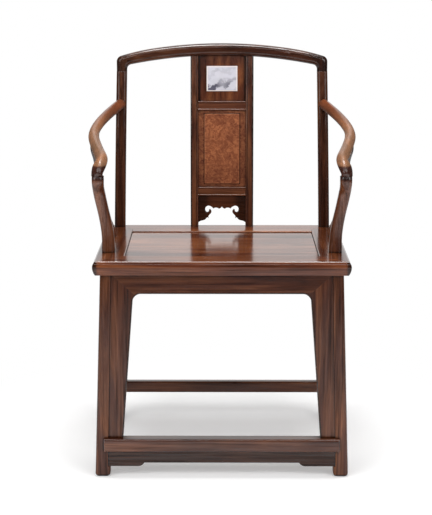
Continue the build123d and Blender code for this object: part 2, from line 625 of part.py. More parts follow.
# ---------------------------------------------------------------- crest rail
def crest_outline():
    """Front view of the crest rail: arched bar with both ends turned down onto the posts."""
    outer = POST_TOP_X + POST_TOP_SECTION / 2
    inner = POST_TOP_X - POST_TOP_SECTION / 2
    foot = CREST_JOINT_HEIGHT
    top = CREST_HEIGHT
    under = CREST_UNDERSIDE
    branch = CREST_MID_REACH
    slope = 2 * CREST_MID_DROP / branch
    upper = [
        ThreePointArc((-branch, top - CREST_MID_DROP), (0, top), (branch, top - CREST_MID_DROP)),
        TangentArc((branch, top - CREST_MID_DROP), (outer, top - CREST_END_DROP),
                   tangent=(1, -slope))]
    upper.append(upper[1].mirror(Plane.YZ))
    lower = ThreePointArc((-inner, under - CREST_UNDER_DROP), (0, under), (inner, under - CREST_UNDER_DROP))
    sides = [
        Line((outer, top - CREST_END_DROP), (outer, foot)), Line((outer, foot), (inner, foot)),
        Line((inner, foot), (inner, under - CREST_UNDER_DROP))]
    twins = [edge.mirror(Plane.YZ) for edge in sides]
    outline = make_face(upper + sides + [lower] + twins)
    corners = outline.vertices()
    outer_corners = [v for v in corners if abs(abs(v.X) - outer) < 0.01 and v.Y > foot + 1]
    inner_corners = [v for v in corners if abs(abs(v.X) - inner) < 0.01 and v.Y > foot + 1]
    outline = fillet(outer_corners, CREST_OUTER_CORNER)
    inner_corners = [v for v in outline.vertices() if abs(abs(v.X) - inner) < 0.01 and v.Y > foot + 1]
    return fillet(inner_corners, CREST_INNER_CORNER)


def crest_rail():
    """Crest rail, bowed backwards in plan, with its long edges rounded."""
    half = POST_TOP_X + POST_TOP_SECTION / 2
    end_y = post_centre(CREST_JOINT_HEIGHT)[1]
    plane = Plane(origin=(0, end_y - CREST_DEPTH, 0), x_dir=(1, 0, 0), z_dir=(0, -1, 0))
    slab = extrude(plane * crest_outline(), -FAR)
    front = ThreePointArc((-half, end_y - CREST_DEPTH / 2), (0, end_y + CREST_BOW - CREST_DEPTH / 2),
                          (half, end_y - CREST_DEPTH / 2))
    back = ThreePointArc((half, end_y + CREST_DEPTH / 2), (0, end_y + CREST_BOW + CREST_DEPTH / 2),
                         (-half, end_y + CREST_DEPTH / 2))
    plan = make_face([front, Line(front @ 1, back @ 0), back, Line(back @ 1, front @ 0)])
    rail = slab & extrude(plan, SEAT_HEIGHT + FAR * 2)
    faces = rail.faces().sort_by(Axis.Y)
    edges = faces[0].edges() + faces[-1].edges()
    long_edges = [edge for edge in edges if edge.center().Z > CREST_JOINT_HEIGHT + 0.01]
    return fillet(long_edges, CREST_ROUND)


def crest_tenon():
    """Corners of the tenon on top of the right rear post, inside the crest rail's end."""
    x, y = post_centre(CREST_JOINT_HEIGHT)
    half = POST_TENON / 2
    return (x - half, x + half, y - half, y + half, CREST_JOINT_HEIGHT - SINK,
            CREST_JOINT_HEIGHT + POST_TENON_LENGTH)


# ---------------------------------------------------------------- splat
def stile():
    """Right stile of the splat, from the seat rail up into the crest rail, and its foot tenon."""
    half = STILE_THICKNESS / 2
    outer = SPLAT_WIDTH / 2
    body = bent_board(STILE_INNER, outer, SEAT_HEIGHT, CREST_UNDERSIDE + HOUSING, -half, half)
    long_edges = [edge for edge in front_face(body).edges() if edge.length > SPLAT_RISE / 2]
    body = fillet(long_edges, STILE_ROUND)
    groove_x = STILE_INNER + BEAD_WIDTH
    body = body - bent_board(groove_x, groove_x + BEAD_GROOVE, SEAT_HEIGHT, CREST_UNDERSIDE + HOUSING,
                             -half - SINK, -half + BEAD_STAND)
    margin = STILE_WIDTH / 5
    tenon = (STILE_INNER + margin, outer - margin, POST_Y - TENON / 2, POST_Y + TENON / 2,
             SEAT_HEIGHT - TENON_LENGTH, SEAT_HEIGHT + SINK)
    return body, tenon


def cross_rail(z):
    """Splat rail at height z, with a bead along each edge, and its right-hand tenon."""
    half = CROSS_RAIL_HEIGHT / 2
    front = -CROSS_RAIL_THICKNESS / 2
    rail = bent_board(-STILE_INNER, STILE_INNER, z - half, z + half, front, -front)
    for low in (z - half, z + half - BEAD_WIDTH):
        bead = bent_board(-STILE_INNER, STILE_INNER, low, low + BEAD_WIDTH, front - BEAD_STAND, 0)
        outermost = bead.faces().sort_by(Axis.Y)[0].edges().filter_by(Axis.X)
        rail = rail + fillet(outermost, BEAD_ROUND)
    tenon = (STILE_INNER - SINK, STILE_INNER + CROSS_TENON_LENGTH, spine_y(z) - CROSS_TENON / 2,
             spine_y(z) + CROSS_TENON / 2, z - half + TENON_SHOULDER, z + half - TENON_SHOULDER)
    return rail, tenon


def let_in_board(z0, z1):
    """A splat board with its edges let into the stiles and rails round it."""
    front = -STILE_THICKNESS / 2 + BOARD_RECESS
    return bent_board(-STILE_INNER - BOARD_TONGUE, STILE_INNER + BOARD_TONGUE,
                      z0 - BOARD_TONGUE, z1 + BOARD_TONGUE, front, front + BOARD_THICKNESS)


def stone():
    """Square of veined marble with a bevelled edge, and the pocket it sits in."""
    lean = atan2(STONE_Z - SEAT_HEIGHT, SPLAT_RADIUS)
    front = -STILE_THICKNESS / 2 + BOARD_RECESS - STONE_PROUD
    plane = Plane(origin=(0, spine_y(STONE_Z, front), STONE_Z), x_dir=(1, 0, 0),
                  z_dir=(0, -cos(lean), sin(lean)))
    tile = extrude(plane * Rectangle(STONE_WIDTH, STONE_HEIGHT), -STONE_THICKNESS)
    tile = chamfer(front_face(tile).edges(), STONE_BEVEL_DROP, STONE_BEVEL)
    wide = STONE_WIDTH + 2 * GLUE_GAP
    tall = STONE_HEIGHT + 2 * GLUE_GAP
    pocket = extrude(plane * (Pos(0, 0, TENON) * Rectangle(wide, tall)), -STONE_THICKNESS - TENON)
    return tile, pocket


def burl_field(z0, z1):
    """Raised field of the burl panel between its rails' edges z0 and z1."""
    front = -STILE_THICKNESS / 2 + BOARD_RECESS
    field = bent_board(-FIELD_WIDTH / 2, FIELD_WIDTH / 2, z0 + FIELD_MARGIN, z1 - FIELD_MARGIN,
                       front - FIELD_RISE, front + SINK)
    return fillet(front_face(field).edges(), FIELD_ROUND)


def scroll_outline():
    """Right half of the carved board's cut-out, from the front: y is the height above the seat."""
    peak = (0, SCROLL_PEAK)
    end = (STILE_INNER, SCROLL_FOOT)
    scallops = [ThreePointArc(peak, (3.2, 46.6), (7.6, 44.8)),
                ThreePointArc((7.6, 44.8), (14.6, 47.6), (21.4, 45.2))]
    scroll = Spline((21.4, 45.2), (27.0, 50.4), (34.5, 52.4), (40.4, 48.6), (41.6, 41.6),
                    (38.2, 36.2), (33.6, 37.2), (32.6, 41.4))
    hook = Spline((32.6, 41.4), (29.4, 43.0), (26.2, 38.4), (28.4, 32.4), (32.8, 27.6), (32.8, 20.6))
    shoulder = Spline((32.8, 20.6), (36.6, 22.8), (41.6, 17.8), (50.2, 14.8), end)
    close = Polyline(end, (STILE_INNER, -SINK), (0, -SINK), peak)
    return make_face(scallops + [scroll, hook, shoulder, close])


def carved_board(z1):
    """Lowest splat board, with its scrolled cut-out open to the seat."""
    front = -STILE_THICKNESS / 2 + BOARD_RECESS
    board = bent_board(-STILE_INNER - BOARD_TONGUE, STILE_INNER + BOARD_TONGUE,
                       SEAT_HEIGHT, z1 + BOARD_TONGUE, front, front + BOARD_THICKNESS)
    plane = Plane(origin=(0, 0, SEAT_HEIGHT), x_dir=(1, 0, 0), z_dir=(0, -1, 0))
    hole = extrude(plane * scroll_outline(), -FAR * 2)
    edge = block(STILE_INNER - SINK, STILE_INNER + BOARD_TONGUE + SINK, 0, SEAT_DEPTH + FAR,
                 SEAT_HEIGHT - SINK, SEAT_HEIGHT + SCROLL_FOOT)
    return board - both_sides(hole) - both_sides(edge)


# ---------------------------------------------------------------- assembly
def make_splat(back_rail, crest):
    """The framed splat; returns the seat's back rail and the crest rail with their mortises."""
    upright, foot_tenon = stile()
    upright = upright + block(*foot_tenon)
    back_rail = back_rail - both_sides(block(*foot_tenon, grow=GLUE_GAP))
    half = CROSS_RAIL_HEIGHT / 2
    lower, lower_tenon = cross_rail(LOWER_RAIL_Z)
    upper, upper_tenon = cross_rail(UPPER_RAIL_Z)
    boards = {
        "splat_stone_board": let_in_board(UPPER_RAIL_Z + half, CREST_UNDERSIDE),
        "splat_burl_panel": let_in_board(LOWER_RAIL_Z + half, UPPER_RAIL_Z - half),
        "splat_carved_board": carved_board(LOWER_RAIL_Z - half)}
    for board in boards.values():
        upright = upright - board
        lower = lower - board
        upper = upper - board
    boards["splat_burl_panel"] = boards["splat_burl_panel"] + burl_field(
        LOWER_RAIL_Z + half, UPPER_RAIL_Z - half)
    for rail, tenon, name in ((lower, lower_tenon, "splat_lower_rail"),
                              (upper, upper_tenon, "splat_upper_rail")):
        upright = upright - block(*tenon, grow=GLUE_GAP)
        parts[name] = rail + both_sides(block(*tenon))
    tile, pocket = stone()
    boards["splat_stone_board"] = boards["splat_stone_board"] - pocket
    parts["splat_stone_tile"] = tile
    parts.update(boards)
    crest = crest - both_sides(upright) - boards["splat_stone_board"]
    add_pair("splat_stile", upright)
    return back_rail, crest


def largest(shape):
    """The biggest solid of a cut shape, without its offcuts."""
    return max(shape.solids(), key=lambda solid: solid.volume)


def make_arms(side_rail, rear_leg):
    """Arms, goosenecks and side posts; returns the side rail and rear leg with their mortises."""
    arm = largest(arm_limb() - rear_leg)
    post_x, post_y = post_centre(ARM_POST_Z)
    half = POST_TENON / 2
    face_y = post_y - CREST_DEPTH / 2
    arm_tenon = (post_x - half, post_x + half, face_y - 4 * SINK, face_y + POST_TENON_LENGTH,
                 ARM_POST_Z - half, ARM_POST_Z + half)
    arm = arm + block(*arm_tenon)
    rear_leg = rear_leg - block(*arm_tenon, grow=GLUE_GAP)

    elbow_tenon = (ELBOW_X - half, ELBOW_X + half, ELBOW_Y - half, ELBOW_Y + half,
                   ELBOW_Z - SINK, ELBOW_Z + POST_TENON_LENGTH)
    neck_tenon = (GOOSENECK_X - half, GOOSENECK_X + half, GOOSENECK_Y - half, GOOSENECK_Y + half,
                  SEAT_HEIGHT - TENON_LENGTH, SEAT_HEIGHT + SINK)
    gooseneck = gooseneck_limb() + block(*elbow_tenon) + block(*neck_tenon)
    arm = arm - block(*elbow_tenon, grow=GLUE_GAP)
    side_rail = side_rail - block(*neck_tenon, grow=GLUE_GAP)

    side_post = largest(side_post_limb() - arm)
    upwards = (Align.CENTER, Align.CENTER, Align.MIN)
    foot = Pos(SIDE_POST_X, SIDE_POST_Y, SEAT_HEIGHT - TENON_LENGTH)
    side_post = side_post + foot * Cylinder(half, TENON_LENGTH + SINK, align=upwards)
    side_rail = side_rail - foot * Cylinder(half + GLUE_GAP, TENON_LENGTH + SINK, align=upwards)
    add_pair("arm", arm)
    add_pair("gooseneck", gooseneck)
    add_pair("side_post", side_post)
    return side_rail, rear_leg


def rear_leg_blank(lower):
    """Rear leg in one stick: lower leg, neck through the seat frame, raked post and top tenon."""
    neck = Pos(LEG_X, POST_Y, FRAME_UNDERSIDE - SINK) * extrude(
        RectangleRounded(NECK_SECTION, NECK_SECTION, NECK_ROUND), FRAME_THICKNESS + 2 * SINK)
    levels = 4
    sections = []
    for level in range(levels + 1):
        share = level / levels
        side = POST_SECTION + (POST_TOP_SECTION - POST_SECTION) * share
        z = SEAT_HEIGHT + POST_RISE * share
        x, y = post_centre(z)
        sections.append(Pos(x, y, z) * RectangleRounded(side, CREST_DEPTH, POST_ROUND))
    return lower + neck + loft(sections) + block(*crest_tenon())


def make_chair():
    """Make every piece and fill the table of parts."""
    front_blank = leg_body(-1)
    rear_blank = leg_body(1)
    blanks = [front_blank, rear_blank, left_copy(front_blank), left_copy(rear_blank)]
    front_leg = front_blank
    rear_leg = rear_leg_blank(rear_blank)

    # seat
    front_rail, back_rail, side_rail = seat_frame()
    batten, dovetail, batten_mortise = seat_batten()
    parts["seat_panel"] = seat_panel() - both_sides(dovetail)
    add_pair("seat_batten", batten)
    front_rail = front_rail - both_sides(batten_mortise)
    back_rail = back_rail - both_sides(batten_mortise)

    # front legs are tenoned up under the mitres, and the rear posts pass right through
    x, y = leg_centre(-1, FRAME_UNDERSIDE)
    half = LEG_TENON / 2
    leg_tenon = (x - half, x + half, y - half, y + half, FRAME_UNDERSIDE - SINK, SEAT_HEIGHT - TENON)
    front_leg = front_leg + block(*leg_tenon)
    leg_mortise = both_sides(block(*leg_tenon, grow=GLUE_GAP))
    bore = NECK_SECTION + 2 * GLUE_GAP
    post_hole = both_sides(Pos(LEG_X, POST_Y, FRAME_UNDERSIDE - SINK) * extrude(
        RectangleRounded(bore, bore, NECK_ROUND), FRAME_THICKNESS + 2 * SINK))
    side_rail = side_rail - leg_mortise - post_hole
    front_rail = front_rail - leg_mortise
    back_rail = back_rail - post_hole

    # footrest and stretchers
    bars = (("footrest", footrest_bar(), [footrest_tenon()]),
            ("rear_stretcher", rear_stretcher_bar(), [rear_stretcher_tenon()]),
            ("side_stretcher", side_stretcher_bar(), side_stretcher_tenons()))
    shouldered = {}
    for name, bar, tenons in bars:
        for blank in blanks:
            bar = bar - blank
        bar = largest(bar)
        for corners in tenons:
            joint = block(*corners)
            bar = bar + (joint if name == "side_stretcher" else both_sides(joint))
            mortise = block(*corners, grow=GLUE_GAP)
            front_leg = front_leg - mortise
            rear_leg = rear_leg - mortise
        shouldered[name] = bar

    # aprons
    front, side, back = front_opening(), side_opening(), back_opening()
    for housing in (front.housing(LEG_ROUND), side.housing(), back.housing()):
        front_leg = front_leg - housing
        rear_leg = rear_leg - housing
    top, jamb_right, jamb_left = front.boards()
    front_rail = front_rail - top
    parts["front_apron"] = top
    parts["front_jamb_right"] = jamb_right - shouldered["footrest"]
    parts["front_jamb_left"] = jamb_left - shouldered["footrest"]
    top, jamb_rear, jamb_front = side.boards()
    side_rail = side_rail - top
    add_pair("side_apron", top)
    add_pair("side_jamb_rear", jamb_rear - shouldered["side_stretcher"])
    add_pair("side_jamb_front", jamb_front - shouldered["side_stretcher"])
    top, spandrel_left, spandrel_right = back.boards()
    back_rail = back_rail - top
    parts["back_apron"] = top
    parts["back_spandrel_left"] = spandrel_left
    parts["back_spandrel_right"] = spandrel_right
    foot_apron, opened = footrest_apron()
    front_leg = front_leg - foot_apron - opened
    parts["footrest_apron"] = foot_apron
    parts["footrest"] = shouldered["footrest"]
    parts["rear_stretcher"] = shouldered["rear_stretcher"]
    add_pair("side_stretcher", shouldered["side_stretcher"])

    # arms, crest rail and splat
    side_rail, rear_leg = make_arms(side_rail, rear_leg)
    crest = crest_rail() - both_sides(block(*crest_tenon(), grow=GLUE_GAP))
    back_rail, crest = make_splat(back_rail, crest)
    parts["crest_rail"] = crest
    add_pair("front_leg", front_leg)
    add_pair("rear_leg", rear_leg)
    parts["seat_front_rail"] = front_rail
    parts["seat_back_rail"] = back_rail
    add_pair("seat_side_rail", side_rail)


def write_parts():
    """Move each piece into the chair's own frame and write it to its file."""
    os.makedirs("parts", exist_ok=True)
    for name, shape in parts.items():
        export_step(Pos(0, -MIDDLE_Y, 0) * shape, "parts/" + name + ".step")


make_chair()
write_parts()
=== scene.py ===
"""Official hat chair in polished rosewood: finishes, opening bead, stage and camera."""
from math import cos, pi, radians, sin

import bmesh
import bpy
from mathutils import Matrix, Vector


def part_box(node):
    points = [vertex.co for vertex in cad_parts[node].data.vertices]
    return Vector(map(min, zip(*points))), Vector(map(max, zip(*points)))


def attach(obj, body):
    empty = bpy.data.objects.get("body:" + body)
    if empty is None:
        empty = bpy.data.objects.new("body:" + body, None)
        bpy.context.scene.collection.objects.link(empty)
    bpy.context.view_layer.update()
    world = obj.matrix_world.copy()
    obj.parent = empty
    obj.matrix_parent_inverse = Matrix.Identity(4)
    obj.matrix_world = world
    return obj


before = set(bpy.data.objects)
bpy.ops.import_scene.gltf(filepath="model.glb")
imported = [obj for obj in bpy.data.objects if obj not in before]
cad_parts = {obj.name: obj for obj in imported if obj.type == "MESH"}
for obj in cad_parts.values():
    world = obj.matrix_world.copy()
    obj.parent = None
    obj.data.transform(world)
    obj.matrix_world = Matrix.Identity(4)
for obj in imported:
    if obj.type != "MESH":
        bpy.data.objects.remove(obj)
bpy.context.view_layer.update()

bl_info = {
    "name": "Official hat chair",
    "version": (1, 0, 0),
    "blender": (4, 5, 0),
    "location": "View3D > Sidebar > Hat chair",
    "description": "Finishes the chair's joinery and sets the stage for it",
    "category": "Add Mesh",
}

# ---------------------------------------------------------------- sizes of the chair, in metres
GOOSENECK_TENON = 0.014      # stretch of a gooseneck that is hidden in its arm
CREST_CORNER = 0.2345        # from the middle to where the crest rail turns down
EDGE_BULGE = 0.0043          # how far the seat's edge moulding swells past the arris
PLANK_WIDTH = 0.024          # bands of the seat panel
SPLAT_TONGUE = 0.004         # tongue of a board in the splat's rails
FIELD_HALF = 0.0435          # half the width of the burl panel's raised field
FIELD_MARGIN = 0.0085        # field's top and bottom inside the rails
# painted shade on the burl's border beside the stiles
BURL_SIDE_SHADE = 0.040, 0.048    # where the burl darkens, from the middle to its border

# how many times longer than wide a pattern is drawn along the grain
FIGURE_STRETCH, STREAK_STRETCH, PORE_STRETCH = 15.0, 42.0, 40.0

# numbers of a Mix node's colour inputs and of its colour output
MIX_FIRST, MIX_SECOND, MIX_COLOUR = 6, 7, 2

# name, place, height of the point it looks at, width and length, setting with its power
LAMPS = (
    ("lamp_over", (0.0, -0.15, 3.0), 0.50, (1.3, 0.6), "main_lamp"),
    ("lamp_strip", (0.0, -2.4, 2.35), 0.75, (2.6, 0.14), "strip_lamp"),
    ("glint_left", (-0.75, -1.7, 2.5), 0.70, (0.16, 0.16), "glint"),
    ("glint_right", (0.75, -1.7, 2.5), 0.70, (0.16, 0.16), "glint"),
    ("lamp_left", (-1.9, -2.1, 1.9), 0.55, (1.5, 1.7), "side_lamp"),
    ("lamp_right", (1.9, -2.1, 1.9), 0.55, (1.5, 1.7), "side_lamp"),
)


# ---------------------------------------------------------------- settings
def colour_setting(name, description, default):
    """A colour that the user may change."""
    return bpy.props.FloatVectorProperty(name=name, description=description, subtype="COLOR",
                                         size=3, min=0, max=1, default=default)


class ChairFinish(bpy.types.PropertyGroup):
    """Colours and polish of the chair's woods and stone."""
    wood_dark: colour_setting("Dark grain", "Colour of the rosewood's dark streaks",
                              (0.010, 0.0032, 0.0020))
    wood_mid: colour_setting("Rosewood", "Main colour of the rosewood", (0.078, 0.0205, 0.0080))
    wood_light: colour_setting("Light grain", "Colour of the rosewood's lighter streaks",
                               (0.225, 0.077, 0.026))
    # pale colour mixed into the wood as a painted sheen, used on the arms
    wood_pale_sheen: colour_setting("Rubbed wood", "Colour of the wood where it is rubbed pale",
                                (0.48, 0.285, 0.155))
    polish: bpy.props.FloatProperty(
        name="Polish", description="Roughness of the polished wood", subtype="FACTOR",
        min=0, max=1, default=0.20)
    seat_polish: bpy.props.FloatProperty(
        name="Seat polish", description="Roughness of the seat, smooth as a mirror",
        subtype="FACTOR", min=0, max=1, default=0.14)
    pore_depth: bpy.props.FloatProperty(
        name="Pore depth", description="Depth of the open pores", unit="LENGTH",
        min=0, max=0.002, default=0.00010)
    edge_softness: bpy.props.FloatProperty(
        name="Edge softness", description="Radius of the rubbed edges", unit="LENGTH",
        min=0, max=0.005, default=0.0012)
    burl_light: colour_setting("Burl", "Light colour of the burl", (0.36, 0.125, 0.050))
    burl_mid: colour_setting("Burl ground", "Middle colour of the burl", (0.205, 0.058, 0.023))
    burl_dark: colour_setting("Burl eyes", "Dark colour of the burl's eyes and swirls",
                              (0.070, 0.017, 0.0085))
    stone_pale: colour_setting("Stone", "Ground colour of the marble", (0.60, 0.59, 0.65))
    stone_vein: colour_setting("Stone veins", "Colour of the marble's veins", (0.10, 0.095, 0.13))
    # the rim colour and width make a painted highlight round the marble's edge
    stone_rim_highlight: colour_setting("Stone rim", "Colour of the plain rim round the marble",
                              (0.74, 0.66, 0.64))
    rim_highlight_width: bpy.props.FloatProperty(
        name="Rim width", description="Width of the plain rim round the marble",
        unit="LENGTH", min=0, max=0.02, default=0.0030)
    bead_radius: bpy.props.FloatProperty(
        name="Bead radius", description="Radius of the thin bead round the front opening",
        unit="LENGTH", min=0, max=0.005, default=0.0013)


class ChairStage(bpy.types.PropertyGroup):
    """Camera, lamps and floor."""
    lens: bpy.props.FloatProperty(
        name="Lens", description="Focal length on a 36 mm sensor", unit="CAMERA", default=103.44)
    height: bpy.props.FloatProperty(
        name="Camera height", description="Camera above the floor", unit="LENGTH", default=1.19626)
    distance: bpy.props.FloatProperty(
        name="Camera distance", description="Camera in front of the seat's front edge",
        unit="LENGTH", default=3.22173)
    pitch: bpy.props.FloatProperty(
        name="Tilt", description="Camera's tilt below the horizon", subtype="ANGLE",
        default=0.208117)
    turn: bpy.props.FloatProperty(
        name="Turn", description="Camera's turn to the side", subtype="ANGLE", default=0.004054)
    room_light: bpy.props.FloatProperty(
        name="Room light", description="Strength of the even light from all round", default=0.42)
    main_lamp: bpy.props.FloatProperty(
        name="Main lamp", description="Power of the large overhead lamp", unit="POWER",
        default=46.0)
    strip_lamp: bpy.props.FloatProperty(
        name="Strip lamp", description="Power of the long narrow lamp in front", unit="POWER",
        default=9.0)
    glint: bpy.props.FloatProperty(
        name="Glints", description="Power of each small lamp that makes a sharp highlight",
        unit="POWER", default=2.2)
    side_lamp: bpy.props.FloatProperty(
        name="Side lamps", description="Power of each side lamp", unit="POWER", default=23.0)
    floor_radius: bpy.props.FloatProperty(
        name="Floor", description="Radius of the round pale floor", unit="LENGTH", default=2.2)
    floor_colour: colour_setting("Floor colour", "Colour of the floor under the chair", (0.88,) * 3)
    floor_lift: bpy.props.FloatProperty(
        name="Floor lift", description="How much the floor is lightened for the eye",
        subtype="FACTOR", min=0, max=1, default=0.25)


# ---------------------------------------------------------------- material helpers
def add(tree, kind, **values):
    """A new shader node; each value goes to the node's setting or to its input of that name."""
    made = tree.nodes.new(kind)
    for key, value in values.items():
        if hasattr(made, key):
            setattr(made, key, value)
        else:
            made.inputs[key.replace("_", " ")].default_value = value
    return made


def result(node, out=None):
    """A node's output: the one asked for, or a Mix node's colour, or another node's first."""
    if out is None:
        out = MIX_COLOUR if node.bl_idname == "ShaderNodeMix" else 0
    return node.outputs[out]


def join(tree, source, target, out=None, into=0):
    """Join an output to an input; each is a number or a name."""
    tree.links.new(result(source, out), target.inputs[into])


def blank_material(name, kind="ShaderNodeBsdfPrincipled"):
    """A material with one shader and its output."""
    material = bpy.data.materials.new(name)
    material.use_nodes = True
    tree = material.node_tree
    tree.nodes.clear()
    shader = tree.nodes.new(kind)
    join(tree, shader, tree.nodes.new("ShaderNodeOutputMaterial"))
    return material, tree, shader


def grey(value):
    """A neutral colour."""
    return (value, value, value)


def tinted(colour, amount):
    """A colour made lighter or darker."""
    return tuple(min(1.0, channel * amount) for channel in colour)


def between(first, second, share):
    """A colour with this share of the second one in it."""
    return tuple(a * (1 - share) + b * share for a, b in zip(first, second))


def ramp(tree, source, stops, out=None):
    """A colour ramp of (position, colour) stops on a node's output."""
    made = tree.nodes.new("ShaderNodeValToRGB")
    elements = made.color_ramp.elements
    elements[0].position, elements[0].color = stops[0][0], (*stops[0][1], 1)
    elements[1].position, elements[1].color = stops[-1][0], (*stops[-1][1], 1)
    for position, colour in stops[1:-1]:
        elements.new(position).color = (*colour, 1)
    join(tree, source, made, out)
    return made


def blended(tree, kind, share, first, second, second_out=None):
    """Two colours blended; share and second are plain values or nodes."""
    made = add(tree, "ShaderNodeMix", data_type="RGBA", blend_type=kind)
    if isinstance(share, float):
        made.inputs["Factor"].default_value = share
    else:
        join(tree, share, made, into="Factor")
    join(tree, first, made, into=MIX_FIRST)
    if isinstance(second, tuple):
        made.inputs[MIX_SECOND].default_value = (*second, 1)
    else:
        join(tree, second, made, second_out, MIX_SECOND)
    return made


def shaded(tree, wood, tone, share=1.0):
    """Wood multiplied by a tone."""
    return blended(tree, "MULTIPLY", share, wood, tone)


def sums(tree, operation, first, second=None, out=None, second_out=None):
    """A Math node on a node's output and a number or a second node."""
    made = add(tree, "ShaderNodeMath", operation=operation)
    join(tree, first, made, out)
    if isinstance(second, float):
        made.inputs[1].default_value = second
    elif second is not None:
        join(tree, second, made, second_out, 1)
    return made


def vectors(tree, operation, first, second):
    """A Vector Math node on two nodes."""
    made = add(tree, "ShaderNodeVectorMath", operation=operation)
    join(tree, first, made)
    join(tree, second, made, into="Scale" if operation == "SCALE" else 1)
    return made


def axes(tree, space="Object"):
    """X, Y and Z of a point on the chair, or of a direction in the room."""
    split = tree.nodes.new("ShaderNodeSeparateXYZ")
    join(tree, tree.nodes.new("ShaderNodeTexCoord"), split, space)
    return split


def from_middle(tree, split):
    """Distance from the chair's middle plane, to either side."""
    return sums(tree, "ABSOLUTE", split, out="X")


def along(direction, stretch):
    """Scale of a pattern that runs along one direction."""
    scale = [stretch, stretch, stretch]
    scale["XYZ".index(direction)] = 1.0
    return scale


def placed(tree, scale, offset=(0, 0, 0), turn=(0, 0, 0)):
    """The chair's own coordinates, scaled, moved and turned for a pattern."""
    mapping = add(tree, "ShaderNodeMapping", Location=offset, Rotation=turn, Scale=scale)
    join(tree, tree.nodes.new("ShaderNodeTexCoord"), mapping, "Object")
    return mapping


def grained(tree, direction, stretch, offset, ends=0.0):
    """Coordinates drawn out along the grain; beyond ends from the middle the grain is upright."""
    level = placed(tree, along(direction, stretch), offset)
    if not ends:
        return level
    upright = placed(tree, along("Z", stretch), offset)
    beyond = sums(tree, "GREATER_THAN", from_middle(tree, axes(tree)), ends)
    change = vectors(tree, "SCALE", vectors(tree, "SUBTRACT", upright, level), beyond)
    return vectors(tree, "ADD", level, change)


def step(tree, source, start, end, first=0.0, last=1.0, out=None, kind="SMOOTHSTEP"):
    """A change from the first value to the last one, between start and end."""
    made = add(tree, "ShaderNodeMapRange", interpolation_type=kind, From_Min=start, From_Max=end,
               To_Min=first, To_Max=last)
    join(tree, source, made, out, "Value")
    return made


def painted_shade(tree, wood, axis, start, end, tone):
    """Wood multiplied by a grey or a colour past a place, as painted shade; on X, to both sides of
    the middle.
    """
    split = axes(tree)
    if axis == "X":
        edge = step(tree, from_middle(tree, split), start, end)
    else:
        edge = step(tree, split, start, end, out=axis)
    colour = tone if isinstance(tone, tuple) else grey(tone)
    return shaded(tree, wood, ramp(tree, edge, [(0.0, grey(1.0)), (1.0, colour)]))


def noise(tree, source, scale, detail, roughness, distortion=0.0):
    """A noise pattern on mapped coordinates."""
    made = add(tree, "ShaderNodeTexNoise", Scale=scale, Detail=detail, Roughness=roughness,
               Distortion=distortion)
    join(tree, source, made)
    return made


def painted_corner_shade(tree, wood, reach, deepest, open_from, tone):
    """Wood that darkens to a tone in corners and joints, where other pieces are within reach:
    painted shade from ambient occlusion.
    """
    openness = add(tree, "ShaderNodeAmbientOcclusion", samples=6, Distance=reach)
    stops = [(deepest, grey(tone)), (open_from, grey(1.0))]
    return shaded(tree, wood, ramp(tree, openness, stops, "AO"))


def soft_normal(tree, shader, height, depth, strength, radius):
    """Bump from a pattern over edges that are slightly rubbed round."""
    bump = add(tree, "ShaderNodeBump", Distance=depth, Strength=strength)
    join(tree, height, bump, into="Height")
    join(tree, add(tree, "ShaderNodeBevel", samples=4, Radius=radius), bump, into="Normal")
    join(tree, bump, shader, into="Normal")


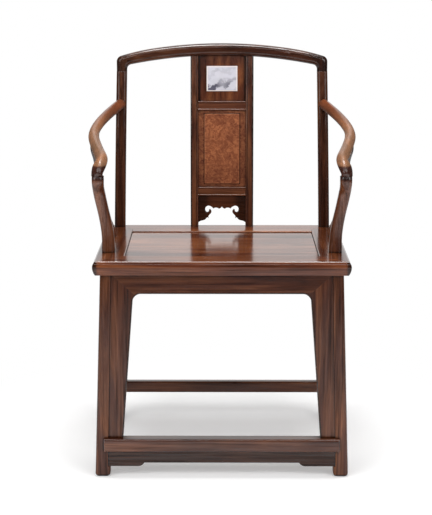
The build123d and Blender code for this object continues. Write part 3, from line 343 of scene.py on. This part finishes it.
# ---------------------------------------------------------------- finishes
def finish_rosewood(name, direction, offset, tone=1.0, contrast=1.0, roughness=None,
                    planks=0.0, ends=0.0, shades=(), worn=0.0, shine=0.5):
    """Polished rosewood whose grain runs along X, Y or Z of the chair.

    offset moves the pattern, so that each piece is cut from another place. tone lightens or
    darkens the wood, and contrast sharpens its figure. roughness is that of the polish, and
    shine is the strength of its reflections. planks is the width of the bands that a wide panel
    is laid up from. ends is where a rail's grain turns upright. shades lists stretches of
    painted shade as (axis, start, end, tone). The wood is mixed by a share from 0 to 1 towards
    a pale colour, which is a painted sheen.
    """
    look = bpy.context.scene.chair_finish
    material, tree, shader = blank_material(name)
    dark, mid, pale = (tinted(c, tone) for c in (look.wood_dark, look.wood_mid, look.wood_light))

    figure = noise(tree, grained(tree, direction, FIGURE_STRETCH, offset, ends),
                   scale=2.2, detail=5.0, roughness=0.60, distortion=0.9)
    spread = 0.10 / contrast
    wood = ramp(tree, figure, [(0.5 - 2.4 * spread, between(mid, dark, 0.55)),
                               (0.5 - 0.7 * spread, mid),
                               (0.5 + 0.9 * spread, between(mid, pale, 0.38)),
                               (0.5 + 2.8 * spread, pale)])

    streaks = noise(tree, grained(tree, direction, STREAK_STRETCH, offset, ends),
                    scale=4.6, detail=4.0, roughness=0.62, distortion=0.35)
    streak_tone = ramp(tree, streaks, [(0.33, grey(0.34)), (0.46, grey(0.88)), (0.64, grey(1.22))])
    wood = shaded(tree, wood, streak_tone, min(1.0, 0.72 * contrast))

    pores = noise(tree, grained(tree, direction, PORE_STRETCH, offset, ends),
                  scale=26.0, detail=3.0, roughness=0.6)
    wood = shaded(tree, wood, ramp(tree, pores, [(0.33, grey(0.45)), (0.45, grey(1.0))]), 0.55)

    drift = noise(tree, placed(tree, (1, 1, 1), offset), scale=7.0, detail=2.0, roughness=0.5)
    patch = ramp(tree, drift, [(0.30, (0.74, 0.70, 0.70)), (0.70, (1.24, 1.22, 1.16))])
    wood = shaded(tree, wood, patch)
    if planks:
        # a saw-toothed Wave node repeats every pi / (10 * Scale) metres
        across = add(tree, "ShaderNodeTexWave", wave_type="BANDS", bands_direction="Y",
                     wave_profile="SAW", Scale=pi / 10 / planks, Distortion=0.5, Detail=1.0,
                     Detail_Scale=0.8)
        join(tree, placed(tree, (0.12, 1.0, 1.0), offset), across)
        band = ramp(tree, across, [(0.0, grey(0.50)), (0.07, grey(1.16)), (0.55, grey(0.88)),
                                   (1.0, grey(1.08))])
        wood = shaded(tree, wood, band, 0.9)
    # painted sheen: the wood mixed towards a pale colour
    if worn:
        wood = blended(tree, "MIX", worn, wood, tuple(look.wood_pale_sheen))
    # painted shade over each listed stretch
    for axis, start, end, shade in shades:
        wood = painted_shade(tree, wood, axis, start, end, shade)
    # painted shade in the corners and joints
    wood = painted_corner_shade(tree, wood, reach=0.009, deepest=0.32, open_from=0.86, tone=0.10)
    join(tree, wood, shader, into="Base Color")

    smooth = look.polish if roughness is None else roughness
    rough = step(tree, pores, 0.0, 1.0, smooth * 1.35, smooth * 0.8, kind="LINEAR")
    join(tree, rough, shader, into="Roughness")
    sheen = step(tree, figure if planks else streaks, 0.38, 0.60, shine * 0.62, shine * 1.2,
                 kind="LINEAR")
    join(tree, sheen, shader, into="Specular IOR Level")
    soft_normal(tree, shader, pores, look.pore_depth, 0.25, look.edge_softness)
    return material


def frame_line(tree, half_width, bottom, top, gap, width):
    """1 on a thin line that runs round a rectangle of the splat, at a gap outside it."""
    split = axes(tree)
    past_side = sums(tree, "SUBTRACT", from_middle(tree, split), half_width)
    level = sums(tree, "SUBTRACT", split, (top + bottom) / 2, out="Z")
    past_end = sums(tree, "SUBTRACT", sums(tree, "ABSOLUTE", level), (top - bottom) / 2)
    outside = sums(tree, "MAXIMUM", past_side, past_end)
    off_line = sums(tree, "ABSOLUTE", sums(tree, "SUBTRACT", outside, gap))
    return sums(tree, "LESS_THAN", off_line, width / 2)


def finish_burl(name):
    """Red-brown burl with mottled figure, small dark eyes, and a painted shade line and a painted
    highlight line round its raised field.
    """
    look = bpy.context.scene.chair_finish
    material, tree, shader = blank_material(name)
    plain = placed(tree, (1, 1, 1), (0.31, 0.2, 0.07))
    sway = noise(tree, plain, scale=22.0, detail=3.0, roughness=0.55)
    swirled = blended(tree, "ADD", 0.045, plain, sway, "Color")
    figure = noise(tree, swirled, scale=105.0, detail=6.0, roughness=0.62, distortion=1.6)
    bright = tinted(look.burl_light, 1.25)
    ground = ramp(tree, figure, [(0.22, tuple(look.burl_dark)), (0.43, tuple(look.burl_mid)),
                                 (0.60, tuple(look.burl_light)), (0.80, bright)])

    eyes = add(tree, "ShaderNodeTexVoronoi", Scale=150.0)
    join(tree, swirled, eyes)
    eye_tone = ramp(tree, eyes, [(0.08, grey(0.45)), (0.32, grey(1.0))])
    flock = noise(tree, plain, scale=36.0, detail=2.0, roughness=0.5)
    cluster = ramp(tree, flock, [(0.47, grey(0.0)), (0.60, grey(0.5))])
    wood = shaded(tree, ground, eye_tone, cluster)
    drift = noise(tree, plain, scale=15.0, detail=3.0, roughness=0.55)
    patch = ramp(tree, drift, [(0.32, (0.66, 0.60, 0.62)), (0.66, (1.06, 1.04, 1.0))])
    wood = shaded(tree, wood, patch)
    # painted shade on the burl beside the stiles
    wood = painted_shade(tree, wood, "X", *BURL_SIDE_SHADE, 0.74)

    low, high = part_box("splat_burl_panel")
    inside = SPLAT_TONGUE + FIELD_MARGIN
    field = FIELD_HALF, low[2] + inside, high[2] - inside
    # painted shade: a dark line round the foot of the raised field
    field_foot_shade = frame_line(tree, *field, gap=0.0009, width=0.0018)
    wood = blended(tree, "MIX", field_foot_shade, wood, tinted(look.burl_dark, 0.45))
    # painted highlight: a pale line along the raised field's arris
    arris = frame_line(tree, *field, gap=-0.0010, width=0.0012)
    arris_highlight_share = ramp(tree, arris, [(0.0, grey(0.0)), (1.0, grey(0.55))])
    wood = blended(tree, "MIX", arris_highlight_share, wood, bright)
    # painted shade in the corners and joints
    wood = painted_corner_shade(tree, wood, reach=0.008, deepest=0.35, open_from=0.88, tone=0.15)
    join(tree, wood, shader, into="Base Color")
    shader.inputs["Roughness"].default_value = 0.26
    soft_normal(tree, shader, figure, 0.0001, 0.2, look.edge_softness)
    return material


def finish_marble(name):
    """Pale blue-grey marble with a few drifting veins and a pale rim, painted as the highlight on
    its edge.
    """
    look = bpy.context.scene.chair_finish
    material, tree, shader = blank_material(name)
    slope = placed(tree, (1, 1, 1), (0.217, 0.4, 0.067), turn=(0, radians(20), 0))
    veins = add(tree, "ShaderNodeTexWave", wave_type="BANDS", bands_direction="Z", Scale=5.4,
                Distortion=3.6, Detail=4.0, Detail_Scale=6.0, Detail_Roughness=0.62)
    join(tree, slope, veins)
    pale, vein = tuple(look.stone_pale), tuple(look.stone_vein)
    soft = between(pale, vein, 0.38)
    drawn = ramp(tree, veins, [(0.0, vein), (0.06, vein), (0.12, soft), (0.24, pale),
                               (0.90, pale), (1.0, soft)])
    clouds = noise(tree, slope, scale=22.0, detail=4.0, roughness=0.5)
    haze = ramp(tree, clouds, [(0.32, grey(0.84)), (0.66, grey(1.03))])
    thinning = noise(tree, slope, scale=17.0, detail=1.0, roughness=0.5)
    fade = ramp(tree, thinning, [(0.38, grey(0.40)), (0.50, grey(1.0))])
    stone = blended(tree, "MIX", fade, shaded(tree, haze, pale), shaded(tree, haze, drawn))

    low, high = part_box("splat_stone_tile")
    half = (high[0] - low[0]) / 2
    # painted highlight: a pale rim round the marble
    rim = frame_line(tree, half, low[2], high[2], gap=-look.rim_highlight_width / 2, width=look.rim_highlight_width)
    join(tree, blended(tree, "MIX", rim, stone, tuple(look.stone_rim_highlight)), shader, into="Base Color")
    shader.inputs["Roughness"].default_value = 0.22
    shader.inputs["Subsurface Weight"].default_value = 0.04
    shader.inputs["Subsurface Scale"].default_value = 0.002
    return material


def paint(pieces, material):
    """Give one material to the chair's pieces that are named."""
    for name in pieces:
        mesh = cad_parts[name].data
        mesh.materials.clear()
        mesh.materials.append(material)


def rub_up(pieces, *finish, **more):
    """Give the pieces one rosewood; the rest is what finish_rosewood takes."""
    paint(pieces, finish_rosewood(*finish, **more))


def pairs(*names):
    """Right and left piece of each name."""
    return [name + hand for name in names for hand in ("_right", "_left")]


# ---------------------------------------------------------------- operators
class CHAIR_OT_finish_frame(bpy.types.Operator):
    """Polish the legs, posts, arms, rails and stretchers, each with its grain along it"""
    bl_idname = "chair.finish_frame"
    bl_label = "Polish the frame"

    def execute(self, context):
        seat_polish = context.scene.chair_finish.seat_polish
        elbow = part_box("gooseneck_right")[1][2] - GOOSENECK_TENON
        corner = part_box("seat_front_rail")[1][0]
        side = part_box("splat_stile_right")[1][0]

        # stretches of painted shade: axis, start, end, tone
        # painted shade on the down-turned front end of each arm
        arm_end_shade = ("Z", elbow + 0.027, elbow + 0.021, (0.16, 0.08, 0.07))
        # painted shade, the arms darker towards the rear posts
        arm_rear_shade = ("Y", -0.02, 0.15, (0.60, 0.34, 0.20))
        # painted shadow of the arm on the top of each gooseneck and side post
        arm_shadow = ("Z", elbow - 0.012, elbow - 0.004, (0.24, 0.14, 0.13))
        # painted shade on the crest rail's turned-down ends
        crest_end_shade = ("X", 0.20, 0.245, 0.45)
        # painted shade at the ends of the seat's front and back rails
        seat_end_shade = ("X", corner - 0.014, corner - 0.006, 0.16)
        # painted shade along the outer edge of each stile
        stile_edge_shade = ("X", side - 0.0050, side - 0.0022, 0.22)

        rub_up(pairs("rear_leg"), "rosewood_post", "Z", (0.31, 0.12, 0.0), 0.56, 1.2)
        rub_up(pairs("front_leg"), "rosewood_leg", "Z", (0.31, 0.12, 0.9), 0.90, 1.25)
        rub_up(pairs("splat_stile"), "rosewood_stile", "Z", (1.7, 0.4, 0.2), 0.92,
               shine=0.9, shades=[stile_edge_shade])
        # the arms' pale mix is a painted sheen
        rub_up(pairs("arm"), "rosewood_arm", "Y", (0.9, 0.3, 0.5), 1.7, roughness=0.28,
               worn=0.30, shine=0.8, shades=[arm_end_shade, arm_rear_shade])
        rub_up(pairs("gooseneck", "side_post"), "rosewood_neck", "Z", (2.3, 0.8, 0.1),
               roughness=0.26, shine=0.8, shades=[arm_shadow])
        rub_up(["crest_rail"], "rosewood_crest", "X", (0.2, 1.3, 0.7), 0.66, 1.5,
               ends=CREST_CORNER, shine=0.7, shades=[crest_end_shade])
        rub_up(["seat_front_rail", "seat_back_rail"], "rosewood_seat", "X", (1.1, 0.2, 0.4),
               1.5, 1.1, seat_polish, shades=[seat_end_shade])
        rub_up(pairs("seat_side_rail"), "rosewood_seat_side", "Y", (0.5, 1.9, 0.4), 0.95,
               roughness=seat_polish)
        rub_up(["footrest", "rear_stretcher"], "rosewood_footrest", "X", (3.1, 0.6, 1.2),
               0.85, 1.2, shine=0.7)
        rub_up(["splat_upper_rail", "splat_lower_rail"], "rosewood_cross_rail", "X",
               (0.7, 2.6, 1.2), 1.15, 1.1, shine=0.8)
        rub_up(pairs("side_stretcher"), "rosewood_side", "Y", (1.9, 0.3, 1.5))
        return {"FINISHED"}


class CHAIR_OT_finish_boards(bpy.types.Operator):
    """Polish the seat panel, the aprons and the splat's boards"""
    bl_idname = "chair.finish_boards"
    bl_label = "Polish the boards"

    def execute(self, context):
        seat_polish = context.scene.chair_finish.seat_polish
        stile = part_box("splat_stile_right")[0][0]

        # stretches of painted shade: axis, start, end, tone
        # painted shadow of the stiles along the sides of the stone board
        board_side_shadow = ("X", stile - 0.010, stile - 0.002, 0.20)
        # painted shade on the carved board towards the stiles
        carved_side_shade = ("X", 0.024, 0.044, 0.36)

        rub_up(["seat_panel"], "rosewood_panel", "X", (0.6, 0.3, 2.2), 1.35, 1.5, seat_polish,
               planks=PLANK_WIDTH, shine=0.72)
        rub_up(["front_apron", "back_apron"], "rosewood_apron", "X", (2.6, 1.3, 0.9), 0.85, 1.1)
        # much darker wood on the footrest apron: painted shade under the footrest
        rub_up(["footrest_apron"], "rosewood_foot_apron", "X", (1.3, 0.3, 0.9), 0.4)
        rub_up(pairs("seat_batten", "side_apron"), "rosewood_hidden", "Y", (1.6, 2.3, 0.3), 0.9)
        rub_up(pairs("front_jamb", "side_jamb_front", "side_jamb_rear", "back_spandrel"),
               "rosewood_jamb", "Z", (0.8, 1.1, 0.2), 0.84, 1.2)
        rub_up(["splat_stone_board"], "rosewood_stone_board", "Z", (0.1, 0.5, 1.9), 1.2,
               shades=[board_side_shadow])
        rub_up(["splat_carved_board"], "rosewood_carved", "X", (1.4, 0.9, 0.6), 0.95, 0.5,
               shades=[carved_side_shade])
        return {"FINISHED"}


class CHAIR_OT_finish_insets(bpy.types.Operator):
    """Finish the burl panel and the marble tile in the splat"""
    bl_idname = "chair.finish_insets"
    bl_label = "Finish the insets"

    def execute(self, context):
        paint(["splat_burl_panel"], finish_burl("burl_polished"))
        paint(["splat_stone_tile"], finish_marble("marble_polished"))
        return {"FINISHED"}


class CHAIR_OT_opening_bead(bpy.types.Operator):
    """Run a thin rounded bead along the edge of the front opening"""
    bl_idname = "chair.opening_bead"
    bl_label = "Opening bead"

    face_y = -0.2235            # boards' front face under the seat frame
    underside = 0.474           # underside of the seat frame
    lean = 0.009 / underside    # forward lean of the boards
    drop = 0.045                # opening's top edge under the seat frame
    top_half = 0.1997           # half the opening's width at its top edge
    foot_half = 0.2255          # the same at the footrest
    foot = 0.0935               # bottom of the opening
    end_gap = 0.001             # bead's ends above that
    corner = 0.018              # rounding of the opening's corners
    corner_steps = 8
    inset = 0.0015              # bead's middle outside the opening's edge

    def outline(self):
        """Points (x, z) of the bead's middle, up the right side and down the left one."""
        top = self.underside - self.drop + self.inset
        curl = self.corner + self.inset
        slope = (self.foot_half - self.top_half) / (self.underside - self.drop - self.foot)
        half = self.top_half + self.inset
        points = [(half + slope * (top - self.foot), self.foot + self.end_gap)]
        for number in range(self.corner_steps + 1):
            angle = pi / 2 * number / self.corner_steps
            z = top - curl + curl * sin(angle)
            points.append((half - curl + curl * cos(angle) + slope * (top - z) * cos(angle), z))
        return points + [(-x, z) for x, z in reversed(points)]

    def execute(self, context):
        points = self.outline()
        data = bpy.data.curves.new("opening_bead", "CURVE")
        data.dimensions = "3D"
        data.bevel_depth = context.scene.chair_finish.bead_radius
        data.bevel_resolution = 2
        data.use_fill_caps = True
        line = data.splines.new("POLY")
        line.points.add(len(points) - 1)
        for point, (x, z) in zip(line.points, points):
            point.co = (x, self.face_y - self.lean * (self.underside - z), z, 1)
        bead = bpy.data.objects.new("opening_bead", data)
        context.scene.collection.objects.link(bead)
        # the bead's wood is made dark: painted shade along the edge of the opening
        data.materials.append(
            finish_rosewood("rosewood_bead", "X", (0.4, 0.2, 0.3), 0.30, shine=0.7))
        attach(bead, "root")
        return {"FINISHED"}


class CHAIR_OT_stage(bpy.types.Operator):
    """Add the floor, the room light, the lamps and the camera"""
    bl_idname = "chair.stage"
    bl_label = "Set the stage"

    floor_fade = 0.37, 0.80     # distances from the middle where the floor's fade starts and ends
    room_white = (1, 1, 1, 1)
    sweep_back = -0.25, 0.45    # how far back a direction points, from dim to bright
    sweep_side = 0.17, 0.42     # how far aside it points, from bright to dim
    sweep_dim = 0.08            # strength of the dim part

    def execute(self, context):
        setting = context.scene.chair_stage
        self.floor(context, setting)
        self.room(context, setting)
        for name, place, aim, size, power in LAMPS:
            self.lamp(context, name, Vector(place), Vector((0, 0, aim)), size,
                      getattr(setting, power))
        self.camera(context, setting)
        return {"FINISHED"}

    def mixed(self, tree, share, first, second, out=None):
        """Two shaders mixed by a share."""
        made = tree.nodes.new("ShaderNodeMixShader")
        join(tree, share, made, out)
        join(tree, first, made, into=1)
        join(tree, second, made, into=2)
        return made

    def floor(self, context, setting):
        """A round pale floor that fades into the white background and keeps the chair's shadow."""
        shape = bmesh.new()
        bmesh.ops.create_circle(shape, cap_ends=True, segments=96, radius=setting.floor_radius)
        mesh = bpy.data.meshes.new("floor")
        shape.to_mesh(mesh)
        shape.free()
        floor = bpy.data.objects.new("floor", mesh)
        context.scene.collection.objects.link(floor)

        material, tree, matt = blank_material("floor_white", "ShaderNodeBsdfDiffuse")
        matt.inputs["Color"].default_value = (*setting.floor_colour, 1)
        reach = add(tree, "ShaderNodeVectorMath", operation="LENGTH")
        join(tree, tree.nodes.new("ShaderNodeTexCoord"), reach, "Object")
        away = step(tree, reach, *self.floor_fade, out="Value")
        lifted = tree.nodes.new("ShaderNodeAddShader")
        join(tree, matt, lifted)
        lift = add(tree, "ShaderNodeEmission", Strength=setting.floor_lift)
        join(tree, lift, lifted, into=1)
        faded = self.mixed(tree, away, lifted, tree.nodes.new("ShaderNodeEmission"))
        path = tree.nodes.new("ShaderNodeLightPath")
        shown = self.mixed(tree, path, matt, faded, "Is Camera Ray")
        join(tree, shown, tree.nodes["Material Output"])
        mesh.materials.append(material)

    def room(self, context, setting):
        """White sweep behind the chair, dim room in front of it, and white wherever one looks."""
        world = bpy.data.worlds.new("room")
        context.scene.world = world
        world.use_nodes = True
        tree = world.node_tree
        tree.nodes.clear()
        split = axes(tree, "Generated")
        behind = step(tree, split, *self.sweep_back, out="Y")
        ahead = step(tree, from_middle(tree, split), *self.sweep_side, 1.0, 0.0)
        sweep_share = sums(tree, "MULTIPLY", behind, ahead)
        sweep = add(tree, "ShaderNodeBackground", Color=self.room_white)
        join(tree, step(tree, sweep_share, 0.0, 1.0, self.sweep_dim, 1.0), sweep, into="Strength")
        light = add(tree, "ShaderNodeBackground", Color=self.room_white,
                    Strength=setting.room_light)
        white = add(tree, "ShaderNodeBackground", Color=self.room_white)
        path = tree.nodes.new("ShaderNodeLightPath")
        polished = self.mixed(tree, path, light, sweep, "Is Glossy Ray")
        straight = sums(tree, "MAXIMUM", path, path, "Is Camera Ray", "Is Transmission Ray")
        shown = self.mixed(tree, straight, polished, white)
        join(tree, shown, tree.nodes.new("ShaderNodeOutputWorld"))

    def lamp(self, context, name, place, target, size, power):
        """A soft rectangular lamp that looks at a point."""
        data = bpy.data.lights.new(name, "AREA")
        data.shape = "RECTANGLE"
        data.size, data.size_y = size
        data.energy = power
        lamp = bpy.data.objects.new(name, data)
        context.scene.collection.objects.link(lamp)
        lamp.location = place
        lamp.rotation_euler = (target - place).to_track_quat("-Z", "Y").to_euler()

    def camera(self, context, setting):
        """A camera in front of the chair, looking slightly down."""
        data = bpy.data.cameras.new("camera")
        data.sensor_width = 36.0
        data.sensor_fit = "AUTO"
        data.lens = setting.lens
        camera = bpy.data.objects.new("camera", data)
        context.scene.collection.objects.link(camera)
        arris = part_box("seat_front_rail")[0][1] + EDGE_BULGE
        camera.location = (0.0, arris - setting.distance, setting.height)
        camera.rotation_euler = (pi / 2 - setting.pitch, 0.0, setting.turn)
        context.scene.camera = camera


class CHAIR_PT_sidebar(bpy.types.Panel):
    """The chair's operators and settings"""
    bl_idname = "CHAIR_PT_sidebar"
    bl_label = "Hat chair"
    bl_space_type = "VIEW_3D"
    bl_region_type = "UI"
    bl_category = "Hat chair"

    def draw(self, context):
        for group in (context.scene.chair_finish, context.scene.chair_stage):
            for key in group.bl_rna.properties.keys():
                if key not in ("rna_type", "name"):
                    self.layout.prop(group, key)
        for operator in OPERATORS:
            self.layout.operator(operator.bl_idname)


OPERATORS = (CHAIR_OT_finish_frame, CHAIR_OT_finish_boards, CHAIR_OT_finish_insets,
             CHAIR_OT_opening_bead, CHAIR_OT_stage)
CLASSES = (ChairFinish, ChairStage) + OPERATORS + (CHAIR_PT_sidebar,)


def register():
    """Add the classes and their settings."""
    for cls in CLASSES:
        bpy.utils.register_class(cls)
    bpy.types.Scene.chair_finish = bpy.props.PointerProperty(type=ChairFinish)
    bpy.types.Scene.chair_stage = bpy.props.PointerProperty(type=ChairStage)


def unregister():
    """Take the classes and their settings away again."""
    del bpy.types.Scene.chair_stage
    del bpy.types.Scene.chair_finish
    for cls in reversed(CLASSES):
        bpy.utils.unregister_class(cls)


def main():
    """Register the settings, finish the chair and set the stage."""
    register()
    bpy.context.scene.view_settings.view_transform = "Standard"
    bpy.ops.chair.finish_frame()
    bpy.ops.chair.finish_boards()
    bpy.ops.chair.finish_insets()
    bpy.ops.chair.opening_bead()
    bpy.ops.chair.stage()


if __name__ == "__main__":
    main()
